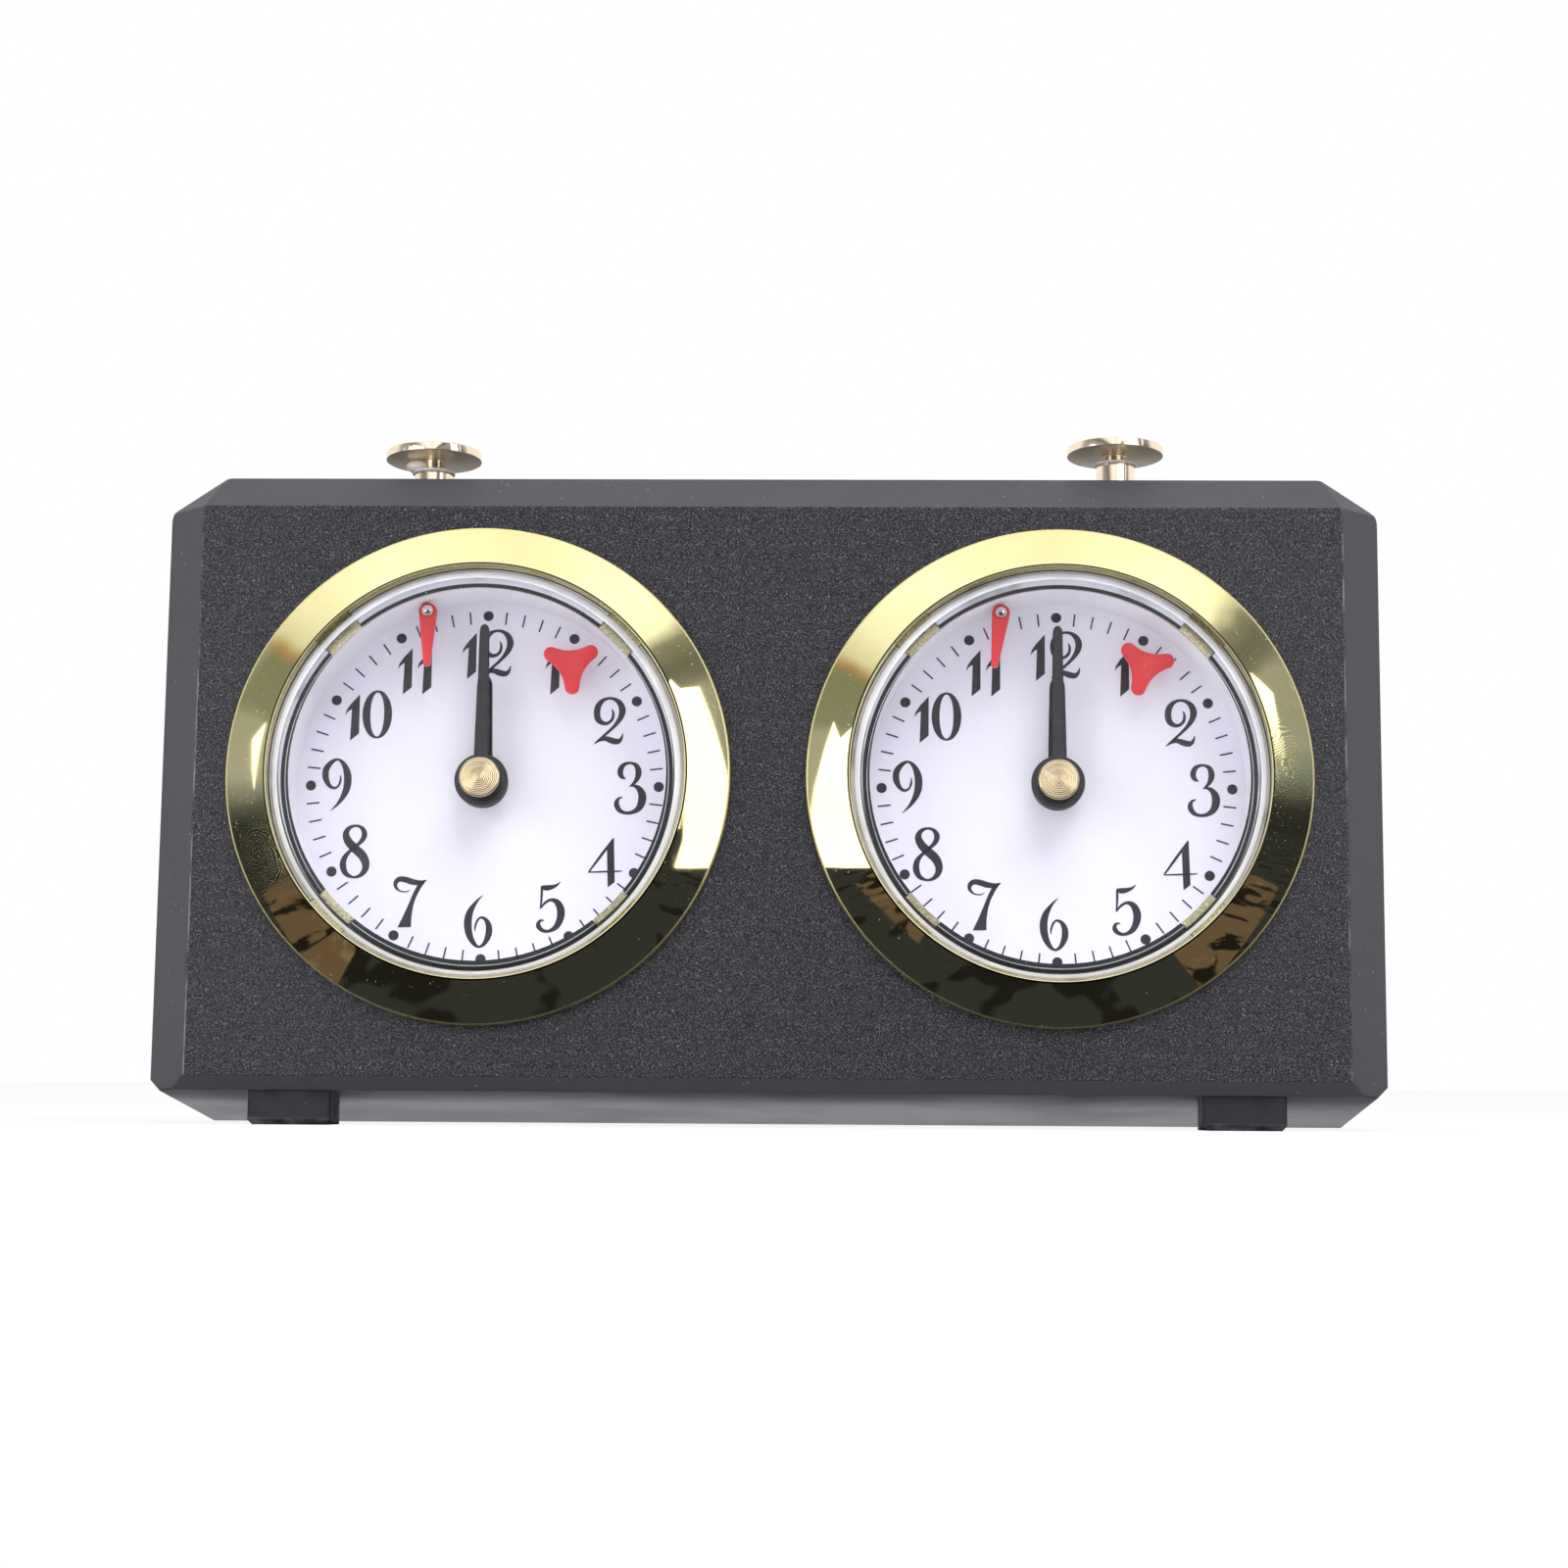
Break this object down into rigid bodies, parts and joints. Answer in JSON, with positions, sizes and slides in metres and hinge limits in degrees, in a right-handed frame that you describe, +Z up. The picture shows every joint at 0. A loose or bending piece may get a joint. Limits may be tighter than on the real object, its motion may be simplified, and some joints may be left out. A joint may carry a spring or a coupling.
{
  "type": "chess clock",
  "caption": "Analogue chess clock with twin white dials in yellow metal bezels, a black case leaning back on front feet, and brass mushroom buttons on top.",
  "frame": {"origin": "centre of the bounding box on the table plane", "axes": "+X to the players' right across the dials, +Y from the dials to the back, +Z up; the clock leans back about X by 5.95 degrees"},
  "size_m": [0.188, 0.0653, 0.1076],
  "materials": {
    "black_plastic": "fine spark grain",
    "black_rubber": "satin",
    "zinc_steel": "zinc plated",
    "brass": "polished",
    "nickel": "polished",
    "blue_steel": "tempered",
    "yellow_metal": "mirror polished, lacquered",
    "clear_acrylic": "polished clear",
    "white_plastic": "gloss",
    "white_enamel": "satin white with black print",
    "black_enamel": "satin black",
    "red_plastic": "semi gloss"
  },
  "bodies": {
    "case": {"case_front": "black_plastic", "case_back": "black_plastic", "front_feet": "black_rubber", "case_screws": "zinc_steel", "front_plates": "brass", "back_plates": "brass", "pillars": "brass", "crystal_gaskets": "black_rubber", "flag_pins": "nickel", "mainsprings": "blue_steel", "hairsprings": "blue_steel", "left_bezel": "yellow_metal", "left_crystal": "clear_acrylic", "left_dial_cup": "white_plastic", "left_dial": "white_enamel", "right_bezel": "yellow_metal", "right_crystal": "clear_acrylic", "right_dial_cup": "white_plastic", "right_dial": "white_enamel"},
    "rocker": {"rocker": "zinc_steel"},
    "left_escape": {"left_escape_wheel": "brass", "left_tick_indicator": "red_plastic"},
    "left_fourth": {"left_fourth_wheel": "brass"},
    "left_third": {"left_third_wheel": "brass"},
    "left_centre": {"left_centre_wheel": "brass"},
    "left_great": {"left_great_wheel": "brass"},
    "left_hands": {"left_hand_arbor": "brass", "left_minute_hand": "black_enamel", "left_hand_cap": "brass"},
    "left_minute_wheel": {"left_minute_wheel": "brass"},
    "left_hour": {"left_hour_hand": "black_enamel", "left_hour_wheel": "brass"},
    "left_flag": {"left_flag": "red_plastic"},
    "left_button": {"left_button": "brass"},
    "left_brake": {"left_brake_lever": "zinc_steel"},
    "left_pallets": {"left_pallet_lever": "zinc_steel"},
    "left_balance": {"left_balance_wheel": "brass"},
    "left_winding": {"left_winding_arbor": "zinc_steel", "left_winding_key": "brass"},
    "left_click": {"left_click": "zinc_steel"},
    "right_escape": {"right_escape_wheel": "brass", "right_tick_indicator": "red_plastic"},
    "right_fourth": {"right_fourth_wheel": "brass"},
    "right_third": {"right_third_wheel": "brass"},
    "right_centre": {"right_centre_wheel": "brass"},
    "right_great": {"right_great_wheel": "brass"},
    "right_hands": {"right_hand_arbor": "brass", "right_minute_hand": "black_enamel", "right_hand_cap": "brass"},
    "right_minute_wheel": {"right_minute_wheel": "brass"},
    "right_hour": {"right_hour_hand": "black_enamel", "right_hour_wheel": "brass"},
    "right_flag": {"right_flag": "red_plastic"},
    "right_button": {"right_button": "brass"},
    "right_brake": {"right_brake_lever": "zinc_steel"},
    "right_pallets": {"right_pallet_lever": "zinc_steel"},
    "right_balance": {"right_balance_wheel": "brass"},
    "right_winding": {"right_winding_arbor": "zinc_steel", "right_winding_key": "brass"},
    "right_click": {"right_click": "zinc_steel"}
  },
  "joints": [
    {"name": "rocker_tilt", "type": "hinge", "parent": "case", "child": "rocker", "pos_m": [0, -0.00903, 0.08776], "axis": [0, 0.9946, -0.1036], "range_deg": [-1.62, 2.64]},
    {"name": "left_escape_turn", "type": "hinge", "parent": "case", "child": "left_escape", "pos_m": [-0.03089, -0.00266, 0.06975], "axis": [0, 0.9946, -0.1036], "continuous": true},
    {"name": "left_fourth_turn", "type": "hinge", "parent": "case", "child": "left_fourth", "pos_m": [-0.02527, 0.00015, 0.05812], "axis": [0, 0.9946, -0.1036], "continuous": true},
    {"name": "left_third_turn", "type": "hinge", "parent": "case", "child": "left_third", "pos_m": [-0.02743, 0.00323, 0.04429], "axis": [0, 0.9946, -0.1036], "continuous": true},
    {"name": "left_centre_turn", "type": "hinge", "parent": "case", "child": "left_centre", "pos_m": [-0.04434, 0.00855, 0.04993], "axis": [0, 0.9946, -0.1036], "continuous": true},
    {"name": "left_great_turn", "type": "hinge", "parent": "case", "child": "left_great", "pos_m": [-0.06502, -0.00794, 0.04798], "axis": [0, 0.9946, -0.1036], "continuous": true},
    {"name": "left_minute_turn", "type": "hinge", "parent": "case", "child": "left_hands", "pos_m": [-0.04434, -0.02042, 0.05295], "axis": [0, 0.9946, -0.1036], "continuous": true},
    {"name": "left_minute_wheel_turn", "type": "hinge", "parent": "case", "child": "left_minute_wheel", "pos_m": [-0.03954, -0.0132, 0.04384], "axis": [0, 0.9946, -0.1036], "continuous": true},
    {"name": "left_hour_turn", "type": "hinge", "parent": "case", "child": "left_hour", "pos_m": [-0.04434, -0.01831, 0.05273], "axis": [0, 0.9946, -0.1036], "continuous": true},
    {"name": "left_flag_lift", "type": "hinge", "parent": "case", "child": "left_flag", "pos_m": [-0.05309, -0.01901, 0.07924], "axis": [0, -0.9946, 0.1036], "range_deg": [-4, 88]},
    {"name": "left_button_press", "type": "slide", "parent": "case", "child": "left_button", "axis": [0, 0.1036, 0.9946], "range_m": [-0.00153, 0.00248]},
    {"name": "left_brake_swing", "type": "hinge", "parent": "case", "child": "left_brake", "pos_m": [-0.03634, 0.00225, 0.07824], "axis": [0, 0.9946, -0.1036], "range_deg": [-7, 11.36]},
    {"name": "left_pallet_swing", "type": "hinge", "parent": "case", "child": "left_pallets", "pos_m": [-0.04084, -0.00235, 0.07268], "axis": [0, 0.9946, -0.1036], "range_deg": [-5, 5]},
    {"name": "left_balance_swing", "type": "hinge", "parent": "case", "child": "left_balance", "pos_m": [-0.05234, 0.00157, 0.07177], "axis": [0, 0.9946, -0.1036], "range_deg": [-140, 140], "stiffness_Nm_per_rad": 0.00001},
    {"name": "left_winding_turn", "type": "hinge", "parent": "case", "child": "left_winding", "pos_m": [-0.06502, 0.01991, 0.04508], "axis": [0, 0.9946, -0.1036], "continuous": true},
    {"name": "left_click_lift", "type": "hinge", "parent": "case", "child": "left_click", "pos_m": [-0.07302, 0.01263, 0.04282], "axis": [0, -0.9946, 0.1036], "range_deg": [0, 8]},
    {"name": "right_escape_turn", "type": "hinge", "parent": "case", "child": "right_escape", "pos_m": [0.05779, -0.00266, 0.06975], "axis": [0, 0.9946, -0.1036], "continuous": true},
    {"name": "right_fourth_turn", "type": "hinge", "parent": "case", "child": "right_fourth", "pos_m": [0.06341, 0.00015, 0.05812], "axis": [0, 0.9946, -0.1036], "continuous": true},
    {"name": "right_third_turn", "type": "hinge", "parent": "case", "child": "right_third", "pos_m": [0.06125, 0.00323, 0.04429], "axis": [0, 0.9946, -0.1036], "continuous": true},
    {"name": "right_centre_turn", "type": "hinge", "parent": "case", "child": "right_centre", "pos_m": [0.04434, 0.00855, 0.04993], "axis": [0, 0.9946, -0.1036], "continuous": true},
    {"name": "right_great_turn", "type": "hinge", "parent": "case", "child": "right_great", "pos_m": [0.02366, -0.00794, 0.04798], "axis": [0, 0.9946, -0.1036], "continuous": true},
    {"name": "right_minute_turn", "type": "hinge", "parent": "case", "child": "right_hands", "pos_m": [0.04434, -0.02042, 0.05295], "axis": [0, 0.9946, -0.1036], "continuous": true},
    {"name": "right_minute_wheel_turn", "type": "hinge", "parent": "case", "child": "right_minute_wheel", "pos_m": [0.04914, -0.0132, 0.04384], "axis": [0, 0.9946, -0.1036], "continuous": true},
    {"name": "right_hour_turn", "type": "hinge", "parent": "case", "child": "right_hour", "pos_m": [0.04434, -0.01831, 0.05273], "axis": [0, 0.9946, -0.1036], "continuous": true},
    {"name": "right_flag_lift", "type": "hinge", "parent": "case", "child": "right_flag", "pos_m": [0.03559, -0.01901, 0.07924], "axis": [0, -0.9946, 0.1036], "range_deg": [-4, 94.9]},
    {"name": "right_button_press", "type": "slide", "parent": "case", "child": "right_button", "axis": [0, 0.1036, 0.9946], "range_m": [-0.00248, 0.00153]},
    {"name": "right_brake_swing", "type": "hinge", "parent": "case", "child": "right_brake", "pos_m": [0.05234, 0.00225, 0.07824], "axis": [0, 0.9946, -0.1036], "range_deg": [-9.92, 6.12]},
    {"name": "right_pallet_swing", "type": "hinge", "parent": "case", "child": "right_pallets", "pos_m": [0.04784, -0.00235, 0.07268], "axis": [0, 0.9946, -0.1036], "range_deg": [-5, 5]},
    {"name": "right_balance_swing", "type": "hinge", "parent": "case", "child": "right_balance", "pos_m": [0.03634, 0.00157, 0.07177], "axis": [0, 0.9946, -0.1036], "range_deg": [-140, 140], "stiffness_Nm_per_rad": 0.00001},
    {"name": "right_winding_turn", "type": "hinge", "parent": "case", "child": "right_winding", "pos_m": [0.02366, 0.01991, 0.04508], "axis": [0, 0.9946, -0.1036], "continuous": true},
    {"name": "right_click_lift", "type": "hinge", "parent": "case", "child": "right_click", "pos_m": [0.01566, 0.01263, 0.04282], "axis": [0, -0.9946, 0.1036], "range_deg": [0, 8]}
  ],
  "couplings": [
    {"joint": "left_fourth_turn", "follows": "left_escape_turn", "ratio": -0.125},
    {"joint": "left_third_turn", "follows": "left_escape_turn", "ratio": 0.015625},
    {"joint": "left_centre_turn", "follows": "left_escape_turn", "ratio": -0.0019531},
    {"joint": "left_great_turn", "follows": "left_escape_turn", "ratio": 0.00032552},
    {"joint": "left_minute_wheel_turn", "follows": "left_minute_turn", "ratio": -0.33333},
    {"joint": "left_hour_turn", "follows": "left_minute_turn", "ratio": 0.083333},
    {"joint": "left_button_press", "follows": "rocker_tilt", "m_per_rad": 0.0538},
    {"joint": "left_brake_swing", "follows": "rocker_tilt", "ratio": 4.3036},
    {"joint": "right_fourth_turn", "follows": "right_escape_turn", "ratio": -0.125},
    {"joint": "right_third_turn", "follows": "right_escape_turn", "ratio": 0.015625},
    {"joint": "right_centre_turn", "follows": "right_escape_turn", "ratio": -0.0019531},
    {"joint": "right_great_turn", "follows": "right_escape_turn", "ratio": 0.00032552},
    {"joint": "right_minute_wheel_turn", "follows": "right_minute_turn", "ratio": -0.33333},
    {"joint": "right_hour_turn", "follows": "right_minute_turn", "ratio": 0.083333},
    {"joint": "right_button_press", "follows": "rocker_tilt", "m_per_rad": -0.0538},
    {"joint": "right_brake_swing", "follows": "rocker_tilt", "ratio": -3.7582}
  ]
}
